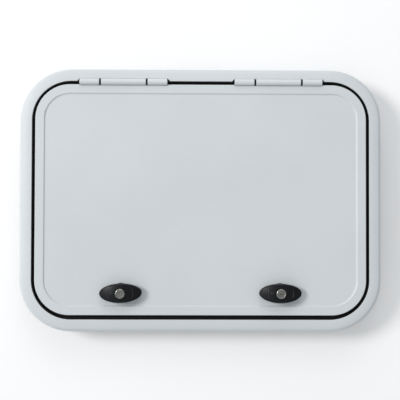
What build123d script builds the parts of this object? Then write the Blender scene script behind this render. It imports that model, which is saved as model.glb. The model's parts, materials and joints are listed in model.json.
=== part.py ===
from build123d import *
import os

# Flush deck hatch: moulded frame, sealed hinged lid and two locking turn latches.
#
# Frame of reference: the deck surface is z = 0, +Z points up and out of the deck, +Y points to the
# hinges, +X is to the right, and the origin is the middle of the hatch. Lengths are in millimetres.
# A section of the hatch is described by its inset (distance inwards from the frame's opening edge)
# and its height.

os.makedirs("parts", exist_ok=True)

CUT = 1.0  # how far a cutting body runs past the face it opens
QUADRANTS = [(1, 1), (-1, 1), (-1, -1), (1, -1)]

# ---------------------------------------------------------------- frame
OVERALL_LENGTH = 460.0
OVERALL_WIDTH = 334.0
RIM_WIDTH = 16.0
RIM_HEIGHT = 20.0
OPENING_CORNER = 50.0
RIM_CROWN_DROP = 1.3
RIM_SHOULDER = 4.6
RIM_INNER_ROUND = 0.5
RIM_DRAFT = 0.4
RIM_WALL = 2.8
RIM_CAVITY_TOP = 15.2
LEDGE_THICKNESS = 4.5
LEDGE_INSET = 27.6
SEAL_CHANNEL = 7.7
LIP_THICKNESS = 1.4
LIP_TOP = 8.0
COLLAR_INSET = 19.8
COLLAR_THICKNESS = 2.4
COLLAR_DEPTH = 25.0
STIFFENER = 2.2
STIFFENER_PITCH = 34.0
STIFFENER_TOP = 12.0
STIFFENER_CORNER_ANGLES = (30, 60)
WALL_OVERLAP = 0.5
CAVITY_SLOPE_HEIGHT = 3.0
CAVITY_SLOPE_WIDTH = 2.4

OPENING_LENGTH = OVERALL_LENGTH - 2 * RIM_WIDTH
OPENING_WIDTH = OVERALL_WIDTH - 2 * RIM_WIDTH
CORNER_X = OPENING_LENGTH / 2 - OPENING_CORNER
CORNER_Y = OPENING_WIDTH / 2 - OPENING_CORNER

# fixing screws through the ledge, M4 countersunk
FIXING_INSET = 13.6
FIXING_HOLE_R = 2.3
FIXING_SINK_R = 4.1
FIXING_OUTER_X = 150.0
FIXING_INNER_X = 55.0
FIXING_SIDE_Y = 60.0

# ---------------------------------------------------------------- seal
SEAL_BODY_TOP = 11.3
SEAL_BULB_TOP = 13.0
SEAL_BULB_R = 1.3
SEAL_BULB_INSET = 1.65
SEAL_EDGE_TOP = 10.4
SEAL_LINING = 0.9
SEAL_LINING_TOP = 18.6
SEAL_HINGE_TOP = 13.2
SEAL_HINGE_GAP = 4.2
SEAL_BODY_SLOPE = 1.0

# ---------------------------------------------------------------- lid
GAP_SIDE = 4.1
GAP_HINGE = 4.2
GAP_LATCH = 5.5
LID_TOP = 19.8
LID_CORNER = 44.0
LID_SLAB = 4.3
LID_EDGE_ROUND = 0.9
RECESS_INSET = 10.5
RECESS_DEPTH = 1.3
RECESS_STEP = 2.4
BORDER_OVERLAP = 3.0
SKIRT_THICKNESS = 2.2
SKIRT_BOTTOM = 11.6
RIB_BOTTOM = 9.0
RIB_THICKNESS = 2.0
RIB_PITCH_X = 50.0
RIB_PITCH_Y = 56.0
RIBS_EACH_SIDE_X = 3
RIBS_EACH_SIDE_Y = 1
EDGE_RIB_INSET = 7.0

LID_LENGTH = OPENING_LENGTH - 2 * GAP_SIDE
LID_WIDTH = OPENING_WIDTH - GAP_HINGE - GAP_LATCH
LID_Y = (GAP_LATCH - GAP_HINGE) / 2
LID_UNDER = LID_TOP - LID_SLAB
PANEL_TOP = LID_TOP - RECESS_DEPTH

# ---------------------------------------------------------------- hinges
HINGE_X = 98.3
HINGE_LENGTH = 111.0
KNUCKLE_R = 4.15
CENTRE_KNUCKLE = 56.6
KNUCKLE_SLIT = 2.4
KNUCKLE_ROUND = 0.5
AXIS_Y = OPENING_WIDTH / 2 - 1.1
AXIS_Z = RIM_HEIGHT + 0.3
SWING_R = 4.5
PIN_R = 2.0
PIN_FIT = 0.05
PIN_SHORTER = 0.6
PIN_CHAMFER = 0.4
BUSH_R = 3.7
BUSH_SIDE_GAP = 0.1
NOTCH_BOTTOM = 6.0
NOTCH_FLARE = 3.2
NOTCH_CLEARANCE = 0.4
NOTCH_RUN_OUT = 0.5
LEAF_THICKNESS = 3.0
FRAME_LEAF_DROP = 1.0
KNUCKLE_ROOT_START = 0.6
KNUCKLE_ROOT_SETBACK = 0.5
LEAF_SCREW_X = 20.0
LEAF_SCREW_R = 1.7
LEAF_SCREW_HEAD_R = 3.1
CROSS_SLOT_LENGTH = 3.4
CROSS_SLOT_WIDTH = 0.8
CROSS_SLOT_DEPTH = 1.0
FRAME_SCREW_Z = 10.6
FRAME_SCREW_LENGTH = 12.0
LID_SCREW_Y = 129.0
LID_SCREW_TOP = 17.2
LID_LEAF_BOTTOM = 9.6
LID_LEAF_REACH = 29.0
LID_LEAF_STEP = 8.6
LID_ARM_TOP = 16.5
LID_ARM_BOTTOM = 13.6
LID_NECK = 2.6
LID_NECK_DROP = 2.0
LID_POCKET_TOP = 16.8
LID_POCKET_GAP = 0.6
LID_PAD_MARGIN = 3.0
HINGE_BLOCK = 124.0

# ---------------------------------------------------------------- latches
LATCH_X = 100.5
LATCH_Y = -116.9
LEFT_GRIP_SKEW = 1.7
BASE_R = 12.3
BASE_TOP = 22.3
BASE_EDGE_ROUND = 0.8
BASE_TUBE_R = 9.25
BASE_TUBE_BOTTOM = 6.5
BASE_WELL_R = 7.2
BASE_WELL_BOTTOM = 17.2
BASE_NOTCH_R = 8.8
BASE_NOTCH_WIDTH = 5.4
BASE_NOTCH_BOTTOM = 19.4
LID_HOLE_R = 9.4
LID_PAD_R = 17.0
LID_PAD_BOTTOM = 14.0
LID_PAD_CLEARANCE = 1.5
GASKET_INNER_R = 9.7
GASKET_OUTER_R = 11.5
GASKET_HEIGHT = 0.8
NUT_FLATS = 24.0
NUT_BOTTOM = 7.6
NUT_CORNER_TRIM = 1.2
NUT_WASHER_R = 14.2
NUT_WASHER_HEIGHT = 1.1

GRIP_HALF_LENGTH = 26.7
GRIP_HALF_WIDTH = 11.9
GRIP_BOTTOM = 22.6
GRIP_TOP = 34.5
GRIP_DOME_R = 50.0
GRIP_EDGE_ROUND = 1.6
GRIP_FOOT_CHAMFER = 1.2
GRIP_COLLAR_R = 7.5
GRIP_COLLAR_TOP = 34.9
GRIP_ARC_R = 15.8
GRIP_ARC_WIDTH = 1.1
GRIP_ARC_DEPTH = 0.35
GRIP_ARC_HALF_CHORD = 6.5
HUB_R = 6.9
HUB_BOTTOM = 17.5
SPINDLE_FLANGE_R = 5.9
SPINDLE_FLANGE_TOP = 18.8
SPINDLE_FLANGE = 1.2
SPINDLE_R = 4.0
SPINDLE_FIT = 0.06
SPINDLE_SQUARE = 5.6
ORING_Z = 12.8
ORING_R = 0.46
ORING_GROOVE_R = 3.1
ORING_GROOVE_WIDTH = 1.2

PLUG_HEAD_R = 6.1
PLUG_HEAD_BOTTOM = 31.6
PLUG_FACE = 36.6
PLUG_CHAMFER = 0.9
PLUG_DISH_R = 4.7
PLUG_DISH_DEPTH = 0.5
PLUG_BODY_R = 4.7
PLUG_BOTTOM = 21.6
PLUG_FIT = 0.06
PLUG_SEAT_GAP = 0.1
KEYWAY_LENGTH = 6.4
KEYWAY_WIDTH = 1.5
KEYWAY_DEPTH = 6.0
CRANK_R = 1.27
CRANK_PIN_R = 0.9
CRANK_BOTTOM = 19.9
CRANK_OFFSET = CRANK_R / 2 ** 0.5

BOLT_BOTTOM = 19.7
BOLT_THICKNESS = 1.6
BOLT_WIDTH = 4.9
BOLT_REAR = -4.0
BOLT_FRONT = 6.7
BOLT_SLOT_GAP = 0.1
BOLT_REAR_GAP = 0.2
BOLT_NOTCH_GAP = 0.1
BOLT_PIN_GAP = 0.15

CAM_TOP = -0.6
CAM_THICKNESS = 3.5
CAM_WIDTH = 10.4
CAM_REACH = 11.4
CAM_LEAD = 0.8
CAM_WASHER_R = 5.2
CAM_WASHER_HEIGHT = 1.0
CAM_WASHER_FIT = 0.15
CAM_SCREW_R = 2.0
CAM_SCREW_HEAD_R = 3.9
CAM_SCREW_HEAD = 2.8
CAM_SCREW_TOP = 6.0
CAM_SCREW_HEAD_ROUND = 1.0
CAM_SOCKET_FLATS = 3.0
CAM_SOCKET_DEPTH = 1.6


def save(name, shape):
    """Write one piece, or one group of identical pieces, to its own file."""
    shape.label = name
    export_step(shape, f"parts/{name}.step")


def rounded_slab(length, width, corner, bottom, top, y=0.0):
    """An upright slab with rounded corners, centred on (0, y)."""
    outline = Pos(0, y, bottom) * RectangleRounded(length, width, corner)
    return extrude(outline, top - bottom)


def disc(radius, bottom, top, x=0.0, y=0.0):
    """An upright cylinder between two heights."""
    return Pos(x, y, (bottom + top) / 2) * Cylinder(radius, top - bottom)


def block(x0, x1, y0, y1, z0, z1):
    """A box between two opposite corners."""
    centre = Pos((x0 + x1) / 2, (y0 + y1) / 2, (z0 + z1) / 2)
    return centre * Box(x1 - x0, y1 - y0, z1 - z0)


def rod_along_x(radius, x0, x1, y, z):
    """A cylinder lying along X."""
    return Pos((x0 + x1) / 2, y, z) * Rot(0, 90, 0) * Cylinder(radius, x1 - x0)


def section(points):
    """A closed section from (inset, height) points, as radii about the opening's corner centre."""
    line = Polyline(*[(OPENING_CORNER - inset, height) for inset, height in points], close=True)
    return make_face(Plane.XZ * line)


def ring(profile, corner_x=CORNER_X, corner_y=CORNER_Y):
    """Carry a section round a rectangle: a quarter turn at each corner, straight between them."""
    corner = revolve(profile, Axis.Z, 90)
    solids = []
    for turn, (sx, sy) in enumerate(QUADRANTS):
        solids.append(Pos(sx * corner_x, sy * corner_y, 0) * Rot(0, 0, 90 * turn) * corner)
    for turn, (reach, half) in enumerate([(corner_x, corner_y), (corner_y, corner_x)] * 2):
        side = extrude(profile, amount=half, both=True)
        solids.append(Rot(0, 0, 90 * turn) * Pos(reach, 0, 0) * side)
    return Solid.fuse(*[s.solid() for s in solids]).clean()


def at(inset, height):
    """A point of the frame's section: radius about the corner centre, and height."""
    return (OPENING_CORNER - inset, height)


def rim_section():
    """The rim: gently crowned top, rounded outer shoulder, small round at the opening."""
    crown_run = RIM_WIDTH - RIM_DRAFT - RIM_SHOULDER - RIM_INNER_ROUND
    crown_start = at(-RIM_INNER_ROUND, RIM_HEIGHT)
    crown_end = at(-RIM_INNER_ROUND - crown_run, RIM_HEIGHT - RIM_CROWN_DROP)
    crown = TangentArc(crown_start, crown_end, tangent=(1, 0))
    slope = crown % 1
    shoulder_height = RIM_SHOULDER * slope.X / (1 + slope.Y)
    shoulder_end = at(-RIM_WIDTH + RIM_DRAFT, crown_end[1] - shoulder_height)
    shoulder = TangentArc(crown_end, shoulder_end, tangent=slope)
    inner_edge = at(0, RIM_HEIGHT - RIM_INNER_ROUND)
    inner_round = TangentArc(crown_start, inner_edge, tangent=(-1, 0))
    rest = Polyline(inner_edge, at(0, 0), at(-RIM_WIDTH, 0), shoulder_end)
    outline = make_face([*crown.edges(), *shoulder.edges(), *inner_round.edges(), *rest.edges()])
    return Plane.XZ * outline


def ledge_section():
    """The fixing ledge inside the rim, with the low lip that holds the seal."""
    lip_inner = SEAL_CHANNEL + LIP_THICKNESS
    return section([
        (0, 0),
        (0, LEDGE_THICKNESS),
        (SEAL_CHANNEL, LEDGE_THICKNESS),
        (SEAL_CHANNEL, LIP_TOP),
        (lip_inner, LIP_TOP),
        (lip_inner, LEDGE_THICKNESS),
        (COLLAR_INSET, LEDGE_THICKNESS),
        (COLLAR_INSET, 0),
    ])


def collar_section():
    """The collar through the deck's cut-out, with the flange that ends the ledge."""
    inner = COLLAR_INSET + COLLAR_THICKNESS
    return section([
        (COLLAR_INSET, LEDGE_THICKNESS),
        (LEDGE_INSET, LEDGE_THICKNESS),
        (LEDGE_INSET, 0),
        (inner, 0),
        (inner, -COLLAR_DEPTH),
        (COLLAR_INSET, -COLLAR_DEPTH),
    ])


def cavity_section():
    """The hollow under the rim, between its outer and inner walls."""
    outer = -RIM_WIDTH + RIM_WALL
    return section([
        (outer, -CUT),
        (outer, RIM_CAVITY_TOP - CAVITY_SLOPE_HEIGHT),
        (outer + CAVITY_SLOPE_WIDTH, RIM_CAVITY_TOP),
        (-RIM_WALL, RIM_CAVITY_TOP),
        (-RIM_WALL, -CUT),
    ])


def seal_section():
    """Rubber seal: flat body under the lid's skirt, bulb beside it, thin lining up the rim's wall."""
    bulb_base = SEAL_BULB_TOP - SEAL_BULB_R
    right = SEAL_BULB_INSET + SEAL_BULB_R
    lining_offset = SEAL_BULB_INSET - SEAL_LINING
    lining_foot = bulb_base + (SEAL_BULB_R ** 2 - lining_offset ** 2) ** 0.5
    bulb = ThreePointArc(
        at(right, bulb_base), at(SEAL_BULB_INSET, SEAL_BULB_TOP), at(SEAL_LINING, lining_foot)
    )
    rest = Polyline(
        at(SEAL_LINING, lining_foot),
        at(SEAL_LINING, SEAL_LINING_TOP),
        at(0, SEAL_LINING_TOP),
        at(0, LEDGE_THICKNESS),
        at(SEAL_CHANNEL, LEDGE_THICKNESS),
        at(SEAL_CHANNEL, SEAL_EDGE_TOP),
        at(SEAL_CHANNEL - SEAL_BODY_SLOPE, SEAL_BODY_TOP),
        at(right, SEAL_BODY_TOP),
        at(right, bulb_base),
    )
    return Plane.XZ * make_face([*bulb.edges(), *rest.edges()])


def countersunk_screw(shank_r, head_r, length, recess=True):
    """A screw along Z with its head's flat face at z = 0 and its tip at z = -length."""
    head_height = head_r - shank_r
    shank = disc(shank_r, -length, -head_height / 2)
    head = Pos(0, 0, -head_height / 2) * Cone(shank_r, head_r, head_height)
    screw = shank + head
    if recess:
        arm = CROSS_SLOT_LENGTH / 2
        half = CROSS_SLOT_WIDTH / 2
        slot = block(-arm, arm, -half, half, -CROSS_SLOT_DEPTH, CUT)
        screw -= slot
        screw -= Rot(0, 0, 90) * slot
    return screw


def turned_hexagon(flats, bottom, top):
    """A hexagonal prism given its width across flats."""
    outline = Pos(0, 0, bottom) * RegularPolygon(flats / 2, 6, major_radius=False)
    return extrude(outline, top - bottom)


# ---------------------------------------------------------------- hinges
def hinge_centres():
    """The middle of each hinge along X, by name."""
    return {"left": -HINGE_X, "right": HINGE_X}


def frame_leaf_screws(centre, recess=True):
    """Three screws through a frame leaf into the rim, heads facing the opening."""
    face_y = AXIS_Y + SWING_R - LEAF_THICKNESS
    screw = countersunk_screw(LEAF_SCREW_R, LEAF_SCREW_HEAD_R, FRAME_SCREW_LENGTH, recess)
    screw = Rot(90, 0, 0) * screw
    places = [Pos(centre + dx, face_y, FRAME_SCREW_Z) for dx in (-LEAF_SCREW_X, 0, LEAF_SCREW_X)]
    return [place * screw for place in places]


def lid_leaf_screws(centre, recess=True):
    """Three screws up through a lid leaf into the pad under the lid."""
    length = LID_SCREW_TOP - LID_LEAF_BOTTOM
    screw = Rot(180, 0, 0) * countersunk_screw(LEAF_SCREW_R, LEAF_SCREW_HEAD_R, length, recess)
    places = [Pos(centre + dx, LID_SCREW_Y, LID_LEAF_BOTTOM) for dx in (-LEAF_SCREW_X, 0, LEAF_SCREW_X)]
    return [place * screw for place in places]


def frame_leaf(centre):
    """Back plate in the rim's notch with a knuckle at each end."""
    half = HINGE_LENGTH / 2
    back_y = AXIS_Y + SWING_R
    leaf = block(
        -half, half, back_y - LEAF_THICKNESS, back_y, NOTCH_BOTTOM, AXIS_Z - FRAME_LEAF_DROP
    )
    knuckle_length = (HINGE_LENGTH - CENTRE_KNUCKLE) / 2 - KNUCKLE_SLIT
    root_y = AXIS_Y + KNUCKLE_ROOT_START
    for side in (-1, 1):
        inner, outer = sorted((side * (half - knuckle_length), side * half))
        barrel = rod_along_x(KNUCKLE_R, inner, outer, AXIS_Y, AXIS_Z)
        leaf += fillet(barrel.edges(), KNUCKLE_ROUND)
        leaf += block(
            inner, outer, root_y, back_y - KNUCKLE_ROOT_SETBACK, LID_ARM_BOTTOM, AXIS_Z
        )
    free_half = CENTRE_KNUCKLE / 2 + KNUCKLE_SLIT
    leaf -= rod_along_x(SWING_R, -free_half, free_half, AXIS_Y, AXIS_Z)
    leaf -= rod_along_x(PIN_R, -half - CUT, half + CUT, AXIS_Y, AXIS_Z)
    leaf = Pos(centre, 0, 0) * leaf
    for screw in frame_leaf_screws(centre, recess=False):
        leaf -= screw
    return leaf


def lid_leaf(centre):
    """Centre knuckle on an arm that passes under the lid's edge and steps down to a plate."""
    half = CENTRE_KNUCKLE / 2
    neck_y = AXIS_Y - LID_NECK
    neck_top = AXIS_Z - LID_NECK_DROP
    step_y = AXIS_Y - LID_LEAF_STEP
    web_y = step_y - LEAF_THICKNESS
    far_y = AXIS_Y - LID_LEAF_REACH
    plate_top = LID_LEAF_BOTTOM + LEAF_THICKNESS
    outline = Polyline(
        (AXIS_Y, neck_top),
        (AXIS_Y, LID_ARM_BOTTOM),
        (step_y, LID_ARM_BOTTOM),
        (step_y, LID_LEAF_BOTTOM),
        (far_y, LID_LEAF_BOTTOM),
        (far_y, plate_top),
        (web_y, plate_top),
        (web_y, LID_ARM_TOP),
        (neck_y, LID_ARM_TOP),
        (neck_y, neck_top),
        close=True,
    )
    arm = extrude(Plane.YZ * make_face(outline), amount=half, both=True)
    barrel = rod_along_x(KNUCKLE_R, -half, half, AXIS_Y, AXIS_Z)
    leaf = fillet(barrel.edges(), KNUCKLE_ROUND) + arm
    leaf -= rod_along_x(PIN_R + PIN_FIT, -half - CUT, half + CUT, AXIS_Y, AXIS_Z)
    leaf = Pos(centre, 0, 0) * leaf
    for screw in lid_leaf_screws(centre, recess=False):
        leaf -= screw
    return leaf


def hinge_pin(centre):
    """Stainless pin through all three knuckles, a little shorter than the hinge."""
    half = HINGE_LENGTH / 2 - PIN_SHORTER
    pin = rod_along_x(PIN_R, -half, half, AXIS_Y, AXIS_Z)
    return Pos(centre, 0, 0) * chamfer(pin.edges().filter_by(GeomType.CIRCLE), PIN_CHAMFER)


def hinge_bushes(centre):
    """Two black thrust bushes on the pin, one in the slit at each end of the centre knuckle."""
    inner = CENTRE_KNUCKLE / 2 + BUSH_SIDE_GAP
    outer = CENTRE_KNUCKLE / 2 + KNUCKLE_SLIT - BUSH_SIDE_GAP
    bush = rod_along_x(BUSH_R, inner, outer, AXIS_Y, AXIS_Z)
    bush -= rod_along_x(PIN_R + PIN_FIT, inner - CUT, outer + CUT, AXIS_Y, AXIS_Z)
    return [Pos(centre, 0, 0) * bush, Pos(centre, 0, 0) * mirror(bush, about=Plane.YZ)]


# ---------------------------------------------------------------- frame
def hinge_notch(centre):
    """Notch in the rim's inner edge, with ends that flare towards the opening."""
    back_y = AXIS_Y + SWING_R
    edge_y = OPENING_WIDTH / 2
    back_half = HINGE_LENGTH / 2 + NOTCH_CLEARANCE
    spread = NOTCH_FLARE / (back_y - edge_y)
    front_y = edge_y - NOTCH_RUN_OUT
    front_half = back_half + spread * (back_y - front_y)
    outline = Polyline(
        (-back_half, back_y),
        (back_half, back_y),
        (front_half, front_y),
        (-front_half, front_y),
        close=True,
    )
    notch = extrude(Pos(0, 0, NOTCH_BOTTOM) * make_face(outline), RIM_HEIGHT)
    return Pos(centre, 0, 0) * notch


def rim_stiffeners():
    """Webs across the hollow underside of the rim."""
    inner = OPENING_CORNER + RIM_WALL - WALL_OVERLAP
    outer = OPENING_CORNER + RIM_WIDTH - RIM_WALL + WALL_OVERLAP
    web = block(inner, outer, -STIFFENER / 2, STIFFENER / 2, 0, STIFFENER_TOP)
    webs = []
    for turn, (reach, half) in enumerate([(CORNER_X, CORNER_Y), (CORNER_Y, CORNER_X)] * 2):
        count = int(2 * half // STIFFENER_PITCH)
        pitch = 2 * half / count
        for i in range(count + 1):
            webs.append(Rot(0, 0, 90 * turn) * Pos(reach, -half + i * pitch, 0) * web)
    for turn, (sx, sy) in enumerate(QUADRANTS):
        corner = Pos(sx * CORNER_X, sy * CORNER_Y, 0)
        for angle in STIFFENER_CORNER_ANGLES:
            webs.append(corner * Rot(0, 0, 90 * turn + angle) * web)
    return webs


def fixing_points():
    """Places of the fixing screws on the ledge."""
    side_x = OPENING_LENGTH / 2 - FIXING_INSET
    long_y = OPENING_WIDTH / 2 - FIXING_INSET
    quarter = [(FIXING_OUTER_X, long_y), (FIXING_INNER_X, long_y), (side_x, FIXING_SIDE_Y)]
    return [(sx * x, sy * y) for x, y in quarter for sx in (-1, 1) for sy in (-1, 1)]


def make_rim():
    """The rim with its hollow underside, solid behind each hinge."""
    rim = ring(rim_section())
    rim -= ring(cavity_section())
    wall_in = OPENING_WIDTH / 2 + RIM_WALL - WALL_OVERLAP
    wall_out = OPENING_WIDTH / 2 + RIM_WIDTH - RIM_WALL + WALL_OVERLAP
    half = HINGE_BLOCK / 2
    for centre in hinge_centres().values():
        rim += block(centre - half, centre + half, wall_in, wall_out, 0, RIM_CAVITY_TOP)
    rim = rim.fuse(*rim_stiffeners())
    for centre in hinge_centres().values():
        rim -= hinge_notch(centre)
        for screw in frame_leaf_screws(centre, recess=False):
            rim -= screw
    return rim


def make_ledge():
    """The fixing ledge with its countersunk screw holes."""
    ledge = ring(ledge_section())
    sink = FIXING_SINK_R - FIXING_HOLE_R
    for x, y in fixing_points():
        ledge -= disc(FIXING_HOLE_R, -CUT, LEDGE_THICKNESS + CUT, x, y)
        ledge -= Pos(x, y, LEDGE_THICKNESS - sink / 2) * Cone(FIXING_HOLE_R, FIXING_SINK_R, sink)
    return ledge


def make_seal():
    """The seal, with its lining cut down where the hinges stand in the rim."""
    seal = ring(seal_section())
    half = HINGE_LENGTH / 2 + SEAL_HINGE_GAP
    edge_y = OPENING_WIDTH / 2
    for centre in hinge_centres().values():
        x0, x1 = centre - half, centre + half
        seal -= block(x0, x1, edge_y - SEAL_CHANNEL, edge_y + CUT, SEAL_HINGE_TOP, RIM_HEIGHT)
    return seal


# ---------------------------------------------------------------- lid
def lid_outline(inset, bottom, top):
    """A slab that follows the lid's outline at an inset from its edge."""
    return rounded_slab(
        LID_LENGTH - 2 * inset, LID_WIDTH - 2 * inset, LID_CORNER - inset, bottom, top, LID_Y
    )


def lid_border():
    """The lid's edge: skirt, rounded shoulder, raised border and the soft step down to the field."""
    def place(inset, height):
        return (LID_CORNER - inset, height)

    shoulder_start = place(0, LID_TOP - LID_EDGE_ROUND)
    shoulder_end = place(LID_EDGE_ROUND, LID_TOP)
    step_start = place(RECESS_INSET, LID_TOP)
    step_middle = place(RECESS_INSET + RECESS_STEP / 2, LID_TOP - RECESS_DEPTH / 2)
    step_end = place(RECESS_INSET + RECESS_STEP, PANEL_TOP)
    shoulder = TangentArc(shoulder_start, shoulder_end, tangent=(0, 1))
    top = Line(shoulder_end, step_start)
    step_upper = TangentArc(step_start, step_middle, tangent=(-1, 0))
    step_lower = TangentArc(step_end, step_middle, tangent=(1, 0))
    field_inset = RECESS_INSET + RECESS_STEP + BORDER_OVERLAP
    rest = Polyline(
        step_end,
        place(field_inset, PANEL_TOP),
        place(field_inset, LID_UNDER),
        place(SKIRT_THICKNESS, LID_UNDER),
        place(SKIRT_THICKNESS, SKIRT_BOTTOM),
        place(0, SKIRT_BOTTOM),
        shoulder_start,
    )
    edges = [edge for line in (shoulder, top, step_upper, step_lower, rest) for edge in line.edges()]
    profile = Plane.XZ * make_face(edges)
    border = ring(profile, LID_LENGTH / 2 - LID_CORNER, LID_WIDTH / 2 - LID_CORNER)
    return Pos(0, LID_Y, 0) * border


def lid_ribs():
    """Edge rib and crossing ribs under the lid."""
    ribs = lid_outline(EDGE_RIB_INSET, RIB_BOTTOM, LID_UNDER)
    ribs -= lid_outline(EDGE_RIB_INSET + RIB_THICKNESS, RIB_BOTTOM, LID_UNDER)
    half = RIB_THICKNESS / 2
    field = lid_outline(EDGE_RIB_INSET + half, RIB_BOTTOM, LID_UNDER)
    reach_x = LID_LENGTH / 2
    reach_y = LID_WIDTH / 2
    grid = []
    for i in range(-RIBS_EACH_SIDE_X, RIBS_EACH_SIDE_X + 1):
        x = i * RIB_PITCH_X
        grid.append(block(x - half, x + half, -reach_y, reach_y, RIB_BOTTOM, LID_UNDER))
    for i in range(-RIBS_EACH_SIDE_Y, RIBS_EACH_SIDE_Y + 1):
        y = LID_Y + i * RIB_PITCH_Y
        grid.append(block(-reach_x, reach_x, y - half, y + half, RIB_BOTTOM, LID_UNDER))
    crossing = grid[0].fuse(*grid[1:]) & field
    return ribs + crossing


def make_lid():
    lid = lid_border()
    lid += lid_outline(RECESS_INSET + RECESS_STEP + BORDER_OVERLAP / 2, LID_UNDER, PANEL_TOP)
    lid += lid_ribs()
    plate_top = LID_LEAF_BOTTOM + LEAF_THICKNESS
    far_y = AXIS_Y - LID_LEAF_REACH
    pocket_half = CENTRE_KNUCKLE / 2 + LID_POCKET_GAP
    pocket_y = AXIS_Y - LID_LEAF_STEP - LEAF_THICKNESS - LID_POCKET_GAP
    pad_y = far_y - LID_PAD_MARGIN
    pad_end = pocket_y + RIB_THICKNESS / 2
    edge_y = OPENING_WIDTH / 2
    swing_half = HINGE_LENGTH / 2 + LID_POCKET_GAP
    for centre in hinge_centres().values():
        x0, x1 = centre - pocket_half, centre + pocket_half
        lid += block(x0 - RIB_THICKNESS, x1 + RIB_THICKNESS, pad_y, pad_end, plate_top, LID_UNDER)
        lid -= block(x0, x1, far_y - CUT, edge_y, RIB_BOTTOM - CUT, plate_top)
        lid -= block(x0, x1, pocket_y, edge_y, plate_top - CUT, LID_POCKET_TOP)
        lid -= rod_along_x(SWING_R, centre - swing_half, centre + swing_half, AXIS_Y, AXIS_Z)
        for screw in lid_leaf_screws(centre, recess=False):
            lid -= screw
    for x in (-LATCH_X, LATCH_X):
        lid -= disc(LID_PAD_R + LID_PAD_CLEARANCE, RIB_BOTTOM - CUT, LID_UNDER, x, LATCH_Y)
        lid += disc(LID_PAD_R, LID_PAD_BOTTOM, LID_UNDER, x, LATCH_Y)
        lid -= disc(LID_HOLE_R, LID_PAD_BOTTOM - CUT, LID_TOP, x, LATCH_Y)
    return lid


# ---------------------------------------------------------------- latch
# Each latch is modelled about its own axis: the grip lies along X, the cam and the lock bolt point
# to +X, and the grip turns clockwise seen from above to bring the cam out to the frame.
def latch_base():
    base = disc(BASE_R, PANEL_TOP, BASE_TOP)
    base = fillet(base.edges().filter_by(GeomType.CIRCLE).sort_by(Axis.Z)[-1], BASE_EDGE_ROUND)
    base += disc(BASE_TUBE_R, BASE_TUBE_BOTTOM, PANEL_TOP)
    base -= disc(BASE_WELL_R, BASE_WELL_BOTTOM, BASE_TOP + CUT)
    base -= disc(SPINDLE_R + SPINDLE_FIT, BASE_TUBE_BOTTOM - CUT, BASE_TOP)
    half = BASE_NOTCH_WIDTH / 2
    notch = block(0, BASE_NOTCH_R, -half, half, BASE_NOTCH_BOTTOM, BASE_TOP + CUT)
    base -= notch
    base -= Rot(0, 0, -90) * notch
    base -= latch_gasket()
    return base


def latch_gasket():
    gasket = disc(GASKET_OUTER_R, PANEL_TOP, PANEL_TOP + GASKET_HEIGHT)
    return gasket - disc(GASKET_INNER_R, PANEL_TOP - CUT, PANEL_TOP + GASKET_HEIGHT + CUT)


def latch_nut_washer():
    bottom = LID_PAD_BOTTOM - NUT_WASHER_HEIGHT
    washer = disc(NUT_WASHER_R, bottom, LID_PAD_BOTTOM)
    return washer - disc(LID_HOLE_R, bottom - CUT, LID_PAD_BOTTOM + CUT)


def latch_nut():
    top = LID_PAD_BOTTOM - NUT_WASHER_HEIGHT
    nut = turned_hexagon(NUT_FLATS, NUT_BOTTOM, top)
    nut &= disc(NUT_FLATS / 2 + NUT_CORNER_TRIM, NUT_BOTTOM, top)
    return nut - disc(BASE_TUBE_R, NUT_BOTTOM - CUT, top + CUT)


def grip_dome(lowered):
    """The ball whose top is the grip's crowned surface."""
    return Pos(0, 0, GRIP_TOP - GRIP_DOME_R) * Sphere(GRIP_DOME_R - lowered)


def latch_grip():
    over = GRIP_TOP + CUT
    oval = Pos(0, 0, GRIP_BOTTOM) * Ellipse(GRIP_HALF_LENGTH, GRIP_HALF_WIDTH)
    grip = extrude(oval, over - GRIP_BOTTOM) & grip_dome(0)
    upper = grip.faces().sort_by(Axis.Z)[-1].edges()
    grip = fillet(upper, GRIP_EDGE_ROUND)
    lower = grip.faces().sort_by(Axis.Z)[0].edges()
    grip = chamfer(lower, GRIP_FOOT_CHAMFER)
    arcs = disc(GRIP_ARC_R + GRIP_ARC_WIDTH / 2, GRIP_BOTTOM, over)
    arcs -= disc(GRIP_ARC_R - GRIP_ARC_WIDTH / 2, GRIP_BOTTOM, over)
    half_x, half_y = GRIP_HALF_LENGTH, GRIP_ARC_HALF_CHORD
    arcs &= block(-half_x, half_x, -half_y, half_y, GRIP_BOTTOM, over)
    grip -= arcs - grip_dome(GRIP_ARC_DEPTH)
    grip += disc(GRIP_COLLAR_R, GRIP_BOTTOM + CUT, GRIP_COLLAR_TOP)
    grip += disc(HUB_R, HUB_BOTTOM, GRIP_BOTTOM + CUT)
    grip -= disc(PLUG_HEAD_R + PLUG_FIT, PLUG_HEAD_BOTTOM - PLUG_SEAT_GAP, over)
    grip -= disc(PLUG_BODY_R + PLUG_FIT, BOLT_BOTTOM + BOLT_THICKNESS, GRIP_TOP)
    slot_half = BOLT_WIDTH / 2 + BOLT_SLOT_GAP
    slot_bottom = BOLT_BOTTOM - BOLT_SLOT_GAP
    slot_top = BOLT_BOTTOM + BOLT_THICKNESS + BOLT_SLOT_GAP
    slot_rear = BOLT_REAR - BOLT_REAR_GAP
    grip -= block(slot_rear, HUB_R + CUT, -slot_half, slot_half, slot_bottom, slot_top)
    grip -= disc(SPINDLE_FLANGE_R, HUB_BOTTOM - CUT, SPINDLE_FLANGE_TOP)
    return grip


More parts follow.
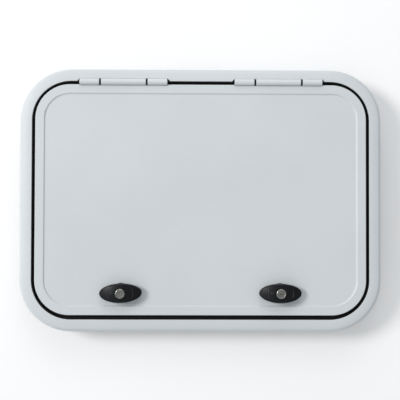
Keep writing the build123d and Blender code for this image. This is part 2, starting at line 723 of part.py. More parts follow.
def latch_spindle():
    flange_bottom = SPINDLE_FLANGE_TOP - SPINDLE_FLANGE
    spindle = disc(SPINDLE_FLANGE_R, flange_bottom, SPINDLE_FLANGE_TOP)
    spindle += disc(SPINDLE_R, CAM_TOP, flange_bottom)
    half = SPINDLE_SQUARE / 2
    spindle += block(-half, half, -half, half, CAM_TOP - CAM_THICKNESS, CAM_TOP)
    groove_bottom = ORING_Z - ORING_GROOVE_WIDTH / 2
    groove_top = ORING_Z + ORING_GROOVE_WIDTH / 2
    groove = disc(SPINDLE_R + CUT, groove_bottom, groove_top)
    spindle -= groove - disc(ORING_GROOVE_R, groove_bottom - CUT, groove_top + CUT)
    return spindle - disc(CAM_SCREW_R, CAM_TOP - CAM_THICKNESS - CUT, CAM_SCREW_TOP)


def latch_oring():
    return Pos(0, 0, ORING_Z) * Torus(ORING_GROOVE_R + ORING_R, ORING_R)


def latch_cam():
    bottom = CAM_TOP - CAM_THICKNESS
    tongue = disc(CAM_REACH, bottom, CAM_TOP)
    tongue &= block(0, CAM_REACH + CUT, -CAM_WIDTH / 2, CAM_WIDTH / 2, bottom, CAM_TOP)
    tip = tongue.edges().filter_by(GeomType.CIRCLE).group_by(Axis.Z)[-1]
    tongue = chamfer(tip, CAM_LEAD)
    cam = tongue + disc(CAM_WIDTH / 2, bottom, CAM_TOP)
    half = SPINDLE_SQUARE / 2
    return cam - block(-half, half, -half, half, bottom - CUT, CAM_TOP + CUT)


def latch_cam_washer():
    top = CAM_TOP - CAM_THICKNESS
    bottom = top - CAM_WASHER_HEIGHT
    washer = disc(CAM_WASHER_R, bottom, top)
    return washer - disc(CAM_SCREW_R + CAM_WASHER_FIT, bottom - CUT, top + CUT)


def latch_cam_screw():
    top = CAM_TOP - CAM_THICKNESS - CAM_WASHER_HEIGHT
    screw = disc(CAM_SCREW_R, top, CAM_SCREW_TOP)
    bottom = top - CAM_SCREW_HEAD
    head = disc(CAM_SCREW_HEAD_R, bottom, top)
    head = fillet(head.edges().filter_by(GeomType.CIRCLE).sort_by(Axis.Z)[0], CAM_SCREW_HEAD_ROUND)
    socket = turned_hexagon(CAM_SOCKET_FLATS, bottom - CUT, bottom + CAM_SOCKET_DEPTH)
    return screw + head - socket


def lock_plug():
    """Key plug: broad head over the grip, barrel in the grip, crank pin at its lower end."""
    plug = disc(PLUG_HEAD_R, PLUG_HEAD_BOTTOM, PLUG_FACE)
    plug = chamfer(plug.edges().filter_by(GeomType.CIRCLE).sort_by(Axis.Z)[-1], PLUG_CHAMFER)
    plug += disc(PLUG_BODY_R, PLUG_BOTTOM, PLUG_HEAD_BOTTOM)
    plug -= disc(PLUG_DISH_R, PLUG_FACE - PLUG_DISH_DEPTH, PLUG_FACE + CUT)
    half_length = KEYWAY_LENGTH / 2
    half_width = KEYWAY_WIDTH / 2
    keyway_bottom = PLUG_FACE - KEYWAY_DEPTH
    plug -= block(-half_length, half_length, -half_width, half_width, keyway_bottom, PLUG_FACE)
    return plug + disc(CRANK_PIN_R, CRANK_BOTTOM, PLUG_BOTTOM, -CRANK_OFFSET, CRANK_OFFSET)


def lock_bolt():
    """Flat bolt with a side notch that the plug's crank pin runs in."""
    half = BOLT_WIDTH / 2
    bolt = block(BOLT_REAR, BOLT_FRONT, -half, half, BOLT_BOTTOM, BOLT_BOTTOM + BOLT_THICKNESS)
    reach = CRANK_PIN_R + BOLT_PIN_GAP
    notch_start = CRANK_OFFSET - reach - BOLT_NOTCH_GAP
    notch_x0, notch_x1 = -CRANK_OFFSET - reach, -CRANK_OFFSET + reach
    return bolt - block(notch_x0, notch_x1, notch_start, half + CUT, BOLT_BOTTOM - CUT, PLUG_BOTTOM)


def make_latch():
    """Every piece of one latch, by name."""
    return {
        "base": latch_base(),
        "base_gasket": latch_gasket(),
        "nut": latch_nut(),
        "nut_washer": latch_nut_washer(),
        "grip": latch_grip(),
        "spindle": latch_spindle(),
        "spindle_oring": latch_oring(),
        "cam": latch_cam(),
        "cam_washer": latch_cam_washer(),
        "cam_screw": latch_cam_screw(),
        "lock_plug": lock_plug(),
        "lock_bolt": lock_bolt(),
    }


# ---------------------------------------------------------------- all pieces
save("frame_rim", make_rim())
save("frame_ledge", make_ledge())
save("frame_collar", ring(collar_section()))
save("frame_seal", make_seal())
save("lid", make_lid())

frame_screws = []
lid_screws = []
bushes = []
for side, centre in hinge_centres().items():
    save(f"hinge_{side}_frame_leaf", frame_leaf(centre))
    save(f"hinge_{side}_lid_leaf", lid_leaf(centre))
    save(f"hinge_{side}_pin", hinge_pin(centre))
    frame_screws += frame_leaf_screws(centre)
    lid_screws += lid_leaf_screws(centre)
    bushes += hinge_bushes(centre)
save("hinge_frame_screws", Compound(children=frame_screws))
save("hinge_lid_screws", Compound(children=lid_screws))
save("hinge_bushes", Compound(children=bushes))

for name, piece in make_latch().items():
    save(f"latch_left_{name}", Pos(-LATCH_X, LATCH_Y, 0) * Rot(0, 0, LEFT_GRIP_SKEW) * piece)
    save(f"latch_right_{name}", Pos(LATCH_X, LATCH_Y, 0) * mirror(piece, about=Plane.YZ))
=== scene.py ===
import json
import math

import bmesh
import bpy
from mathutils import Matrix, Vector


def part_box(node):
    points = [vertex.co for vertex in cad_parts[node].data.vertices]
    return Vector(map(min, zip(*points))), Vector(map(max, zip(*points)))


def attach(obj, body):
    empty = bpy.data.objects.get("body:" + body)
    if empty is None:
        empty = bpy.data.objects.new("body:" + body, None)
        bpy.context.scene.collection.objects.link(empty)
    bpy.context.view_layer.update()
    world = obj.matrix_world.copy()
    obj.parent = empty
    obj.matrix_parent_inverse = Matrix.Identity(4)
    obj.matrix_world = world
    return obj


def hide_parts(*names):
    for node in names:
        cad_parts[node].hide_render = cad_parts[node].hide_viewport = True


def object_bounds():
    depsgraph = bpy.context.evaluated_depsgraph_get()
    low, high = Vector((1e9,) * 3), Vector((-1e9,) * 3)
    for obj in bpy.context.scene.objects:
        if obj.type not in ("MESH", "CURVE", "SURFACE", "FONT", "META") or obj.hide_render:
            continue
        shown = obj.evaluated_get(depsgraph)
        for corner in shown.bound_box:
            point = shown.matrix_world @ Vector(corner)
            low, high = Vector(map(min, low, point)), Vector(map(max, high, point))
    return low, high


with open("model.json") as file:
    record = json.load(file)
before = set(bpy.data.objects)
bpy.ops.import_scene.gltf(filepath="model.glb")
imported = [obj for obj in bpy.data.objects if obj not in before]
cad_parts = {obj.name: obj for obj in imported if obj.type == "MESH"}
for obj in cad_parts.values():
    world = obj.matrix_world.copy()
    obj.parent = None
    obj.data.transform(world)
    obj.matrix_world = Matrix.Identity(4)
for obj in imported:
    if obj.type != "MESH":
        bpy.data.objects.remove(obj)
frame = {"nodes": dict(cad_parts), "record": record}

CAD_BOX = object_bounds()
MM = 0.001
SIDES = ("left", "right")

# ---------------------------------------------------------------- materials
# Colours are linear RGB. Noise scales are in waves per metre, bump distances in metres.

SHELL_SPECK = (0.52, 0.55, 0.57)
BLACK_DEEP, BLACK_LIGHT = (0.0028, 0.0042, 0.0052), (0.0044, 0.0062, 0.0076)
RUBBER_CLEAN, RUBBER_DUSTY = (0.0045, 0.0050, 0.0055), (0.012, 0.013, 0.014)
FLOOR_LOW, FLOOR_HIGH = (0.78, 0.79, 0.80), (0.82, 0.82, 0.82)
FLOOR_GLOW = 0.15


class Nodes:
    """A small helper for building one material's node tree."""

    def __init__(self, name):
        self.material = bpy.data.materials.new(name)
        self.material.use_nodes = True
        self.tree = self.material.node_tree
        self.shader = self.tree.nodes["Principled BSDF"]
        self.place = self.add("ShaderNodeTexCoord").outputs["Object"]

    def add(self, kind, **settings):
        node = self.tree.nodes.new(kind)
        for key, value in settings.items():
            setattr(node, key, value)
        return node

    def link(self, source, target):
        self.tree.links.new(source, target)

    def noise(self, scale, detail=3.0, roughness=0.5, stretch=None):
        """Noise with scale in waves per metre, optionally stretched along an axis."""
        node = self.add("ShaderNodeTexNoise")
        node.inputs["Scale"].default_value = scale
        node.inputs["Detail"].default_value = detail
        node.inputs["Roughness"].default_value = roughness
        place = self.place
        if stretch:
            mapping = self.add("ShaderNodeMapping")
            mapping.inputs["Scale"].default_value = stretch
            self.link(place, mapping.inputs["Vector"])
            place = mapping.outputs["Vector"]
        self.link(place, node.inputs["Vector"])
        return node.outputs["Fac"]

    def cells(self, scale):
        """Distance to the nearest of many scattered points, for grain and pits."""
        node = self.add("ShaderNodeTexVoronoi", feature="F1")
        node.inputs["Scale"].default_value = scale
        self.link(self.place, node.inputs["Vector"])
        return node.outputs["Distance"]

    def ramp(self, source, low, high, from_low=0.0, from_high=1.0):
        """Map a value range onto another, clamped."""
        node = self.add("ShaderNodeMapRange")
        node.inputs["From Min"].default_value = from_low
        node.inputs["From Max"].default_value = from_high
        node.inputs["To Min"].default_value = low
        node.inputs["To Max"].default_value = high
        self.link(source, node.inputs["Value"])
        return node.outputs["Result"]

    def blend(self, factor, first, second):
        """Mix two colours, each a tuple or a socket."""
        node = self.add("ShaderNodeMix", data_type="RGBA")
        self.link(factor, node.inputs["Factor"])
        for value, socket in ((first, node.inputs["A"]), (second, node.inputs["B"])):
            if isinstance(value, tuple):
                socket.default_value = (*value, 1.0)
            else:
                self.link(value, socket)
        return node.outputs["Result"]

    def math(self, operation, first, second):
        """Combine two values, each a number or a socket."""
        node = self.add("ShaderNodeMath", operation=operation)
        for index, value in enumerate((first, second)):
            if isinstance(value, (int, float)):
                node.inputs[index].default_value = value
            else:
                self.link(value, node.inputs[index])
        return node.outputs["Value"]

    def edges(self, radius):
        """1 along convex and concave edges, 0 on open surfaces."""
        bevel = self.add("ShaderNodeBevel", samples=6)
        bevel.inputs["Radius"].default_value = radius
        geometry = self.add("ShaderNodeNewGeometry")
        dot = self.add("ShaderNodeVectorMath", operation="DOT_PRODUCT")
        self.link(bevel.outputs["Normal"], dot.inputs[0])
        self.link(geometry.outputs["Normal"], dot.inputs[1])
        return self.ramp(dot.outputs["Value"], 1.0, 0.0, from_low=0.82, from_high=0.995)

    def bump(self, *layers):
        """Stack bump layers, each (height socket, distance in metres, strength)."""
        normal = None
        for height, distance, strength in layers:
            node = self.add("ShaderNodeBump")
            node.inputs["Distance"].default_value = distance
            node.inputs["Strength"].default_value = strength
            self.link(height, node.inputs["Height"])
            if normal:
                self.link(normal, node.inputs["Normal"])
            normal = node.outputs["Normal"]
        self.link(normal, self.shader.inputs["Normal"])

    def colour(self, socket):
        self.link(socket, self.shader.inputs["Base Color"])

    def roughness(self, socket):
        self.link(socket, self.shader.inputs["Roughness"])

    def specular(self, level):
        self.shader.inputs["Specular IOR Level"].default_value = level


def moulded_shell(name, low, high, edge):
    """Satin pale moulded plastic: fine spark-eroded grain, faint sink and flow variation, and a painted
    highlight along its edges.
    """
    n = Nodes(name)
    broad = n.noise(9.0, 2.0)
    mottling = n.noise(140.0, 4.0, 0.6)
    grain = n.noise(2600.0, 3.0, 0.6)
    pits = n.cells(1700.0)
    base = n.blend(n.ramp(broad, 0.0, 1.0, 0.35, 0.65), low, high)
    speck = n.blend(n.ramp(mottling, 0.0, 0.10, 0.45, 0.75), base, SHELL_SPECK)
    # Lighter colour along every convex and concave edge: a painted highlight of edges catching the light.
    n.colour(n.blend(n.math("MULTIPLY", n.edges(0.0006), 0.35), speck, edge))
    n.roughness(n.math("ADD", n.ramp(grain, 0.38, 0.50), n.ramp(mottling, -0.04, 0.05)))
    n.specular(0.45)
    n.bump((broad, 0.0006, 0.10), (mottling, 0.00006, 0.25), (pits, 0.00003, 0.35), (grain, 0.00002, 0.5))
    return n.material


def black_plastic(name, rough_low, rough_high, specular, rubbed_and_highlight):
    """Semi-matt black glass-filled plastic with a fine leathery grain and lighter edges: rubbed wear, which
    on the relief beads is also a painted highlight.
    """
    n = Nodes(name)
    grain = n.cells(1500.0)
    fine = n.noise(3200.0, 3.0, 0.6)
    smear = n.noise(120.0, 3.0, 0.55)
    base = n.blend(n.ramp(smear, 0.0, 1.0, 0.35, 0.7), BLACK_DEEP, BLACK_LIGHT)
    # Lighter in patches along edges: rubbed wear, and on the relief beads also a painted highlight.
    wear_and_highlight_mask = n.math("MULTIPLY", n.edges(0.0005), n.ramp(n.noise(700.0, 4.0), 0.0, 1.0, 0.4, 0.75))
    n.colour(n.blend(n.math("MULTIPLY", wear_and_highlight_mask, 0.5), base, rubbed_and_highlight))
    n.roughness(n.math("ADD", n.ramp(smear, rough_low, rough_high), n.ramp(fine, -0.03, 0.05)))
    n.specular(specular)
    n.bump((grain, 0.00004, 0.45), (fine, 0.00002, 0.5))
    return n.material


def rubber(name):
    """Black extruded rubber with a fine grain and a dusty bloom."""
    n = Nodes(name)
    bloom = n.noise(60.0, 5.0, 0.65)
    fine = n.noise(2200.0, 3.0, 0.7)
    n.colour(n.blend(n.ramp(bloom, 0.0, 0.5, 0.5, 0.8), RUBBER_CLEAN, RUBBER_DUSTY))
    n.roughness(n.math("ADD", n.ramp(bloom, 0.52, 0.72), n.ramp(fine, -0.04, 0.04)))
    n.specular(0.3)
    n.bump((bloom, 0.0002, 0.2), (fine, 0.00004, 0.6))
    return n.material


def metal(name, low, high, rough_low, rough_high, brush=None):
    """Satin metal with brushed or cast micro relief, tarnish and bright edges."""
    n = Nodes(name)
    tarnish = n.noise(420.0, 5.0, 0.65)
    lines = n.noise(2400.0, 3.0, 0.7, stretch=brush)
    pits = n.cells(2300.0)
    base = n.blend(n.ramp(tarnish, 0.0, 1.0, 0.35, 0.7), low, high)
    bright = tuple(min(1.0, channel * 1.35) for channel in high)
    n.colour(n.blend(n.math("MULTIPLY", n.edges(0.0003), 0.6), base, bright))
    n.roughness(n.math("ADD", n.ramp(tarnish, rough_low, rough_high), n.ramp(lines, -0.05, 0.06)))
    n.shader.inputs["Metallic"].default_value = 1.0
    n.bump((pits, 0.00002, 0.25), (lines, 0.00003, 0.4))
    return n.material


def pale_floor(name):
    """Plain pale studio floor, faintly clouded and a little self-lit to stay near white."""
    n = Nodes(name)
    fine = n.noise(900.0, 3.0)
    n.colour(n.blend(n.noise(5.0, 3.0), FLOOR_LOW, FLOOR_HIGH))
    n.shader.inputs["Emission Color"].default_value = (1.0, 1.0, 1.0, 1.0)
    n.shader.inputs["Emission Strength"].default_value = FLOOR_GLOW
    n.roughness(n.ramp(fine, 0.6, 0.75))
    n.bump((fine, 0.00005, 0.2))
    return n.material


# Each finish: its recipe, then the colours and numbers that the recipe takes.
RECIPES = {
    # For both shells the third colour is the painted highlight along edges.
    "moulded_shell": (moulded_shell, (0.585, 0.620, 0.640), (0.607, 0.642, 0.660), (0.67, 0.70, 0.72)),
    "hinge_plastic": (moulded_shell, (0.610, 0.643, 0.662), (0.630, 0.662, 0.680), (0.70, 0.73, 0.74)),
    "seal_rubber": (rubber,),
    "latch_plastic": (black_plastic, 0.34, 0.44, 0.22, (0.018, 0.021, 0.024)),
    # The relief's lighter edge colour is partly rubbed wear and partly a painted highlight on the beads.
    "latch_relief": (black_plastic, 0.26, 0.36, 0.75, (0.050, 0.054, 0.058)),
    # A darker copy of the lock metal: painted shade for the plug's recessed face.
    "lock_recess_shade": (metal, (0.20, 0.20, 0.185), (0.30, 0.30, 0.28), 0.30, 0.44),
    "lock_metal": (metal, (0.27, 0.27, 0.25), (0.38, 0.38, 0.355), 0.24, 0.36),
    "latch_metal": (metal, (0.42, 0.43, 0.44), (0.55, 0.56, 0.57), 0.34, 0.50),
    "brass_parts": (metal, (0.55, 0.38, 0.14), (0.68, 0.50, 0.22), 0.28, 0.42),
    "stainless": (metal, (0.50, 0.50, 0.50), (0.64, 0.64, 0.63), 0.22, 0.36, (0.06, 1.0, 1.0)),
}
FINISH = {name: recipe(name, *numbers) for name, (recipe, *numbers) in RECIPES.items()}


def dress_cad_nodes():
    """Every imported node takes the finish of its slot."""
    slots = {part["node"]: part["material_slot"] for part in frame["record"]["subparts"]}
    for name, obj in frame["nodes"].items():
        obj.data.materials.clear()
        obj.data.materials.append(FINISH[slots[name]])


# ---------------------------------------------------------------- mesh helpers


def add_object(name, bm, material):
    """Turn a bmesh in metres into an object of the scene."""
    mesh = bpy.data.meshes.new(name)
    bm.to_mesh(mesh)
    bm.free()
    mesh.materials.append(material)
    obj = bpy.data.objects.new(name, mesh)
    bpy.context.scene.collection.objects.link(obj)
    return obj


def smooth_by_angle(obj, degrees=32.0):
    """Smooth shading with sharp edges where faces meet at more than the given angle."""
    bm = bmesh.new()
    bm.from_mesh(obj.data)
    limit = math.radians(degrees)
    for face in bm.faces:
        face.smooth = True
    for edge in bm.edges:
        edge.smooth = len(edge.link_faces) == 2 and edge.calc_face_angle() < limit
    bm.to_mesh(obj.data)
    bm.free()


def skin(bm, rows):
    """Join rows of vertices, each a closed loop, and cap the first and the last."""
    for first, second in zip(rows, rows[1:]):
        for i in range(len(first)):
            j = (i + 1) % len(first)
            bm.faces.new((first[i], first[j], second[j], second[i]))
    bm.faces.new(rows[0])
    bm.faces.new(rows[-1])


def lathe(bm, profile, centre=(0.0, 0.0), steps=96):
    """Turn an (r, z) profile about a vertical axis; the first and last points lie on the axis."""
    rings = []
    for radius, height in profile:
        if radius == 0:
            rings.append([bm.verts.new((*centre, height))])
            continue
        ring = []
        for i in range(steps):
            angle = 2 * math.pi * i / steps
            x = centre[0] + radius * math.cos(angle)
            y = centre[1] + radius * math.sin(angle)
            ring.append(bm.verts.new((x, y, height)))
        rings.append(ring)
    for lower, upper in zip(rings, rings[1:]):
        for i in range(steps):
            j = (i + 1) % steps
            corners = [lower[i % len(lower)], lower[j % len(lower)]]
            corners += [upper[j % len(upper)], upper[i % len(upper)]]
            face = list(dict.fromkeys(corners))
            if len(face) > 2:
                bm.faces.new(face)


def cut(obj, tool):
    """Subtract one object from another and remove the tool."""
    modifier = obj.modifiers.new("cut", "BOOLEAN")
    modifier.operation = "DIFFERENCE"
    modifier.solver = "EXACT"
    modifier.object = tool
    graph = bpy.context.evaluated_depsgraph_get()
    mesh = bpy.data.meshes.new_from_object(obj.evaluated_get(graph))
    obj.modifiers.clear()
    obj.data = mesh
    bpy.data.objects.remove(tool)


# ---------------------------------------------------------------- latch details
# Lengths are in millimetres about each latch's own axis, and repeat the CAD's where it has them.

REST_TURN = {"left": 1.7, "right": 0.0}

GRIP_TOP, GRIP_DOME_R = 34.5, 50.0
ARC_R, ARC_HALF_ANGLE, ARC_STEPS = 15.8, 22.0, 24
ARC_BEAD = (0.90, 0.36)
MARK_BEAD = (0.80, 0.34)
MARKS = ((-12.6, 1.7, 2.2), (-11.2, -0.2, 2.6), (-9.6, 0.9, 2.0))
MARK_SLANT, MARK_STEPS = 0.80, 8
BEAD_SINK = 0.5
BEAD_CROWN = ((-0.5, 0.0), (-0.36, 0.62), (-0.14, 0.95), (0.14, 0.95), (0.36, 0.62), (0.5, 0.0))

PLUG_HEAD_R, PLUG_HEAD_BOTTOM, PLUG_FACE = 6.1, 31.6, 36.6
PLUG_BODY_R, PLUG_BOTTOM = 4.7, 21.6
PLUG_CORE_R, PLUG_CORE_TOP, PLUG_DISH_R = 3.95, 36.32, 4.7
CRANK_R, CRANK_PIN_R, CRANK_BOTTOM = 1.27, 0.9, 19.9
CRANK_SIDE = {"left": -1, "right": 1}
KEYWAYS = {
    "left": dict(x=-0.5, y=1.5, length=4.2, width=1.3, turn=8.0),
    "right": dict(x=0.0, y=-0.2, length=5.6, width=1.4, turn=0.0),
}
KEYWAY_DEPTH = 2.6
TUMBLER_OFFSET, TUMBLER_R = 0.9, 0.48


def latch_axis(side):
    """The latch's axis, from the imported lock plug, with the grip's turn at rest, as photographed."""
    low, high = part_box(f"latch_{side}_lock_plug")
    place = Matrix.Translation(((low.x + high.x) / 2, (low.y + high.y) / 2, 0))
    return place @ Matrix.Rotation(math.radians(REST_TURN[side]), 4, "Z")


def latch_object(name, bm, finish, side):
    """Turn a bmesh in latch millimetres into an object in the shared frame."""
    bmesh.ops.recalc_face_normals(bm, faces=bm.faces)
    bm.transform(latch_axis(side) @ Matrix.Scale(MM, 4))
    obj = add_object(name, bm, FINISH[finish])
    return obj


def keyway_tool(side):
    """The keyway, a straight slot with round ends, as a body to cut with."""
    keyway = KEYWAYS[side]
    end = keyway["width"] / 2
    half = keyway["length"] / 2 - end
    outline = []
    for start, centre in ((-90, half), (90, -half)):
        for i in range(9):
            angle = math.radians(start + i * 180 / 8)
            outline.append(Vector((centre + end * math.cos(angle), end * math.sin(angle), 0)))
    place = Matrix.Translation((keyway["x"], keyway["y"], 0))
    place @= Matrix.Rotation(math.radians(keyway["turn"]), 4, "Z")
    bm = bmesh.new()
    heights = (PLUG_CORE_TOP - KEYWAY_DEPTH, PLUG_CORE_TOP + 1.0)
    skin(bm, [[bm.verts.new(place @ p + Vector((0, 0, height))) for p in outline] for height in heights])
    return latch_object(f"slot_tool_{side}", bm, "lock_metal", side)


def make_plug_barrel(side):
    """Lock plug with a bevelled ring, a recessed face and a turned core with a keyway; the recess is
    darkened with painted shade.
    """
    bm = bmesh.new()
    lathe(bm, [
        (0, PLUG_BOTTOM), (PLUG_BODY_R - 0.3, PLUG_BOTTOM), (PLUG_BODY_R, PLUG_BOTTOM + 0.3),
        (PLUG_BODY_R, PLUG_HEAD_BOTTOM), (PLUG_HEAD_R - 0.15, PLUG_HEAD_BOTTOM),
        (PLUG_HEAD_R, PLUG_HEAD_BOTTOM + 0.15), (PLUG_HEAD_R, PLUG_FACE - 1.05),
        (PLUG_HEAD_R - 0.12, PLUG_FACE - 0.72), (PLUG_HEAD_R - 0.42, PLUG_FACE - 0.34),
        (PLUG_HEAD_R - 0.82, PLUG_FACE - 0.08), (PLUG_HEAD_R - 1.05, PLUG_FACE),
        (PLUG_DISH_R + 0.28, PLUG_FACE - 0.03), (PLUG_DISH_R + 0.10, PLUG_FACE - 0.18),
        (PLUG_DISH_R - 0.04, PLUG_FACE - 0.52),
        (PLUG_CORE_R + 0.22, PLUG_FACE - 0.60), (PLUG_CORE_R + 0.14, PLUG_FACE - 0.95),
        (PLUG_CORE_R, PLUG_FACE - 0.95), (PLUG_CORE_R, PLUG_CORE_TOP - 0.10),
        (PLUG_CORE_R - 0.12, PLUG_CORE_TOP), (0, PLUG_CORE_TOP),
    ])
    plug = latch_object(f"plug_{side}", bm, "lock_metal", side)
    cut(plug, keyway_tool(side))
    smooth_by_angle(plug)
    # The faces inside the dish (its floor, the core and the keyway) take the darker metal: a painted shade
    # of the recess.
    plug.data.materials.append(FINISH["lock_recess_shade"])
    axis = latch_axis(side).translation
    core_floor = (PLUG_CORE_TOP - KEYWAY_DEPTH - 0.4) * MM
    for face in plug.data.polygons:
        reach = math.hypot(face.center.x - axis.x, face.center.y - axis.y)
        if reach < PLUG_DISH_R * MM and face.center.z > core_floor:
            face.material_index = 1
    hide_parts(f"latch_{side}_lock_plug")
    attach(plug, f"lock_plug_{side}")


def make_plug_crank(side):
    """The pin under the plug that moves the lock bolt."""
    bm = bmesh.new()
    offset = CRANK_R / math.sqrt(2)
    top = PLUG_BOTTOM + 0.2
    profile = [
        (0, CRANK_BOTTOM), (CRANK_PIN_R - 0.1, CRANK_BOTTOM), (CRANK_PIN_R, CRANK_BOTTOM + 0.1),
        (CRANK_PIN_R, top), (0, top),
    ]
    lathe(bm, profile, (CRANK_SIDE[side] * offset, offset), 32)
    crank = latch_object(f"plug_{side}_crank", bm, "lock_metal", side)
    smooth_by_angle(crank)
    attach(crank, f"lock_plug_{side}")


def make_tumblers(side):
    """Two brass tips that show in the keyway, guessed."""
    bm = bmesh.new()
    keyway = KEYWAYS[side]
    profile = [
        (0, PLUG_CORE_TOP - 1.5), (TUMBLER_R - 0.08, PLUG_CORE_TOP - 1.5), (TUMBLER_R, PLUG_CORE_TOP - 1.0),
        (TUMBLER_R - 0.18, PLUG_CORE_TOP - 0.72), (0, PLUG_CORE_TOP - 0.66),
    ]
    for offset in (-TUMBLER_OFFSET, TUMBLER_OFFSET):
        lathe(bm, profile, (keyway["x"] + offset, keyway["y"]), 24)
    tumblers = latch_object(f"plug_{side}_tumblers", bm, "brass_parts", side)
    smooth_by_angle(tumblers)
    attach(tumblers, f"lock_plug_{side}")


def dome_height(x, y):
    """Height of the grip's crowned top."""
    return GRIP_TOP - GRIP_DOME_R + math.sqrt(GRIP_DOME_R ** 2 - x * x - y * y)


def bead(bm, path, width, height):
    """A rounded bead along a path of (x, y) points on the grip's top, lower at its ends."""
    last = len(path) - 1
    rows = []
    for k, (x, y) in enumerate(path):
        before, after = path[max(k - 1, 0)], path[min(k + 1, last)]
        along = Vector((after[0] - before[0], after[1] - before[1])).normalized()
        normal = Vector((-along.y, along.x))
        taper = min(1.0, 0.35 + 0.33 * min(k, last - k))
        section = [(share, rise * height * taper) for share, rise in BEAD_CROWN]
        section = [(-0.5, -BEAD_SINK), *section, (0.5, -BEAD_SINK)]
        row = []
        for share, lift in section:
            px, py = x + normal.x * share * width * taper, y + normal.y * share * width * taper
            row.append(bm.verts.new((px, py, dome_height(px, py) + lift)))
        rows.append(row)
    skin(bm, rows)


def make_grip_relief(side):
    """Raised beads in the grip's two arc grooves and three short finger marks beside the plug."""
    bm = bmesh.new()
    for middle in (0.0, 180.0):
        path = []
        for i in range(ARC_STEPS + 1):
            angle = math.radians(middle - ARC_HALF_ANGLE + i * 2 * ARC_HALF_ANGLE / ARC_STEPS)
            path.append((ARC_R * math.cos(angle), ARC_R * math.sin(angle)))
        bead(bm, path, *ARC_BEAD)
    for x, y, length in MARKS:
        shares = [i / MARK_STEPS for i in range(MARK_STEPS + 1)]
        bead(bm, [(x - MARK_SLANT * share, y + length * (share - 0.5)) for share in shares], *MARK_BEAD)
    relief = latch_object(f"grip_relief_{side}", bm, "latch_relief", side)
    smooth_by_angle(relief, 50.0)
    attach(relief, f"latch_{side}")


def make_latch_details():
    for side in SIDES:
        make_plug_barrel(side)
        make_plug_crank(side)
        make_tumblers(side)
        make_grip_relief(side)


# ---------------------------------------------------------------- seal joint
# Lengths are in millimetres in the shared frame, and the first four repeat the CAD's rim and seal.

RIM_WIDTH = 16.0
BULB_INSET, BULB_R, BULB_Z = 1.65, 1.3, 11.7
SLEEVE_RISE, SLEEVE_END_TAPER, SLEEVE_END_SHARE = 0.14, 0.2, 0.93
SLEEVE_ENDS = (-3.4, 8.2)
SLEEVE_FOOT_ANGLE, SLEEVE_STEPS = 8.0, 16


def make_seal_joint():
    """A thin rubber sleeve on the seal's bulb, guessed from a short stretch that differs in the photo."""
    low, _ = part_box("frame_rim")
    centre_y = low.y / MM + RIM_WIDTH + BULB_INSET
    radius = BULB_R + SLEEVE_RISE
    sweep = 180.0 - 2 * SLEEVE_FOOT_ANGLE
    angles = [math.radians(SLEEVE_FOOT_ANGLE + i * sweep / SLEEVE_STEPS) for i in range(SLEEVE_STEPS + 1)]
    start, end = SLEEVE_ENDS
    stations = (
        (start, SLEEVE_END_SHARE), (start + SLEEVE_END_TAPER, 1.0),
        (end - SLEEVE_END_TAPER, 1.0), (end, SLEEVE_END_SHARE),
    )
    bm = bmesh.new()
    rows = []
    for x, share in stations:
        reach = radius * share
        section = [(x, centre_y + reach * math.cos(a), BULB_Z + reach * math.sin(a)) for a in angles]
        rows.append([bm.verts.new(point) for point in section])
    skin(bm, rows)
    bmesh.ops.recalc_face_normals(bm, faces=bm.faces)
    bm.transform(Matrix.Scale(MM, 4))
    sleeve = add_object("seal_joint", bm, FINISH["seal_rubber"])
    smooth_by_angle(sleeve)
    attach(sleeve, "frame")


# ---------------------------------------------------------------- stage

FLOOR_HALF, FLOOR_GAP = 20.0, 0.0002
SENSOR_WIDTH, LENS = 36.0, 71.109
CAMERA_PLACE, CAMERA_TURN = (-0.0119, -0.0216, 1.020), (1.248, -0.631, 0.162)
LIGHTS = {
    "key": dict(place=(-3.40, 1.12, 3.35), size=1.5, power=130.0, colour=(1.0, 0.985, 0.955)),
    "top_fill": dict(place=(0.1, 1.45, 1.15), size=1.3, power=7.0, colour=(0.97, 0.985, 1.0)),
}
WORLD_COLOUR = (0.95, 0.975, 1.0, 1.0)
WORLD_LEFT, WORLD_RIGHT = 0.76, 0.38


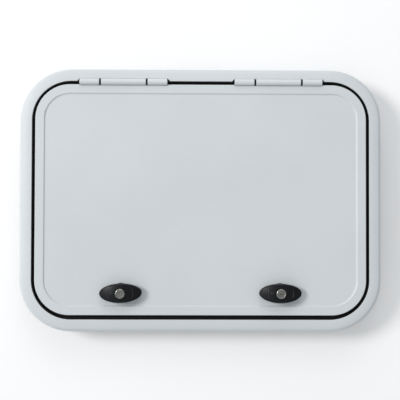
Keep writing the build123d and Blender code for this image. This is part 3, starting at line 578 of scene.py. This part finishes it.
def make_floor():
    bm = bmesh.new()
    bmesh.ops.create_grid(bm, x_segments=8, y_segments=8, size=FLOOR_HALF)
    floor = add_object("floor", bm, pale_floor("pale_floor"))
    floor.location.z = CAD_BOX[0][2] - FLOOR_GAP


def make_camera():
    """Nearly straight above the lid, as a person standing over the hatch would see it."""
    data = bpy.data.cameras.new("camera")
    data.sensor_width = SENSOR_WIDTH
    data.lens = LENS
    data.clip_start = 0.01
    camera = bpy.data.objects.new("camera", data)
    bpy.context.scene.collection.objects.link(camera)
    camera.location = CAMERA_PLACE
    camera.rotation_euler = [math.radians(degrees) for degrees in CAMERA_TURN]
    bpy.context.scene.camera = camera


def make_lights():
    """A soft key from the upper left and a weak fill from the hinge side, both aimed at the origin."""
    for name, light in LIGHTS.items():
        data = bpy.data.lights.new(name, "AREA")
        data.shape = "DISK"
        data.size = light["size"]
        data.energy = light["power"]
        data.color = light["colour"]
        lamp = bpy.data.objects.new(name, data)
        bpy.context.scene.collection.objects.link(lamp)
        lamp.location = light["place"]
        lamp.rotation_euler = (-Vector(light["place"])).to_track_quat("-Z", "Y").to_euler()


def make_world():
    """Pale surroundings, brighter on the left than on the right."""
    world = bpy.data.worlds.new("studio")
    bpy.context.scene.world = world
    world.use_nodes = True
    tree = world.node_tree
    background = tree.nodes["Background"]
    background.inputs["Color"].default_value = WORLD_COLOUR
    direction = tree.nodes.new("ShaderNodeTexCoord")
    split = tree.nodes.new("ShaderNodeSeparateXYZ")
    strength = tree.nodes.new("ShaderNodeMapRange")
    strength.inputs["From Min"].default_value = -1.0
    strength.inputs["To Min"].default_value = WORLD_LEFT
    strength.inputs["To Max"].default_value = WORLD_RIGHT
    tree.links.new(direction.outputs["Generated"], split.inputs["Vector"])
    tree.links.new(split.outputs["X"], strength.inputs["Value"])
    tree.links.new(strength.outputs["Result"], background.inputs["Strength"])
    bpy.context.scene.view_settings.view_transform = "Standard"


dress_cad_nodes()
make_latch_details()
make_seal_joint()
make_floor()
make_camera()
make_lights()
make_world()
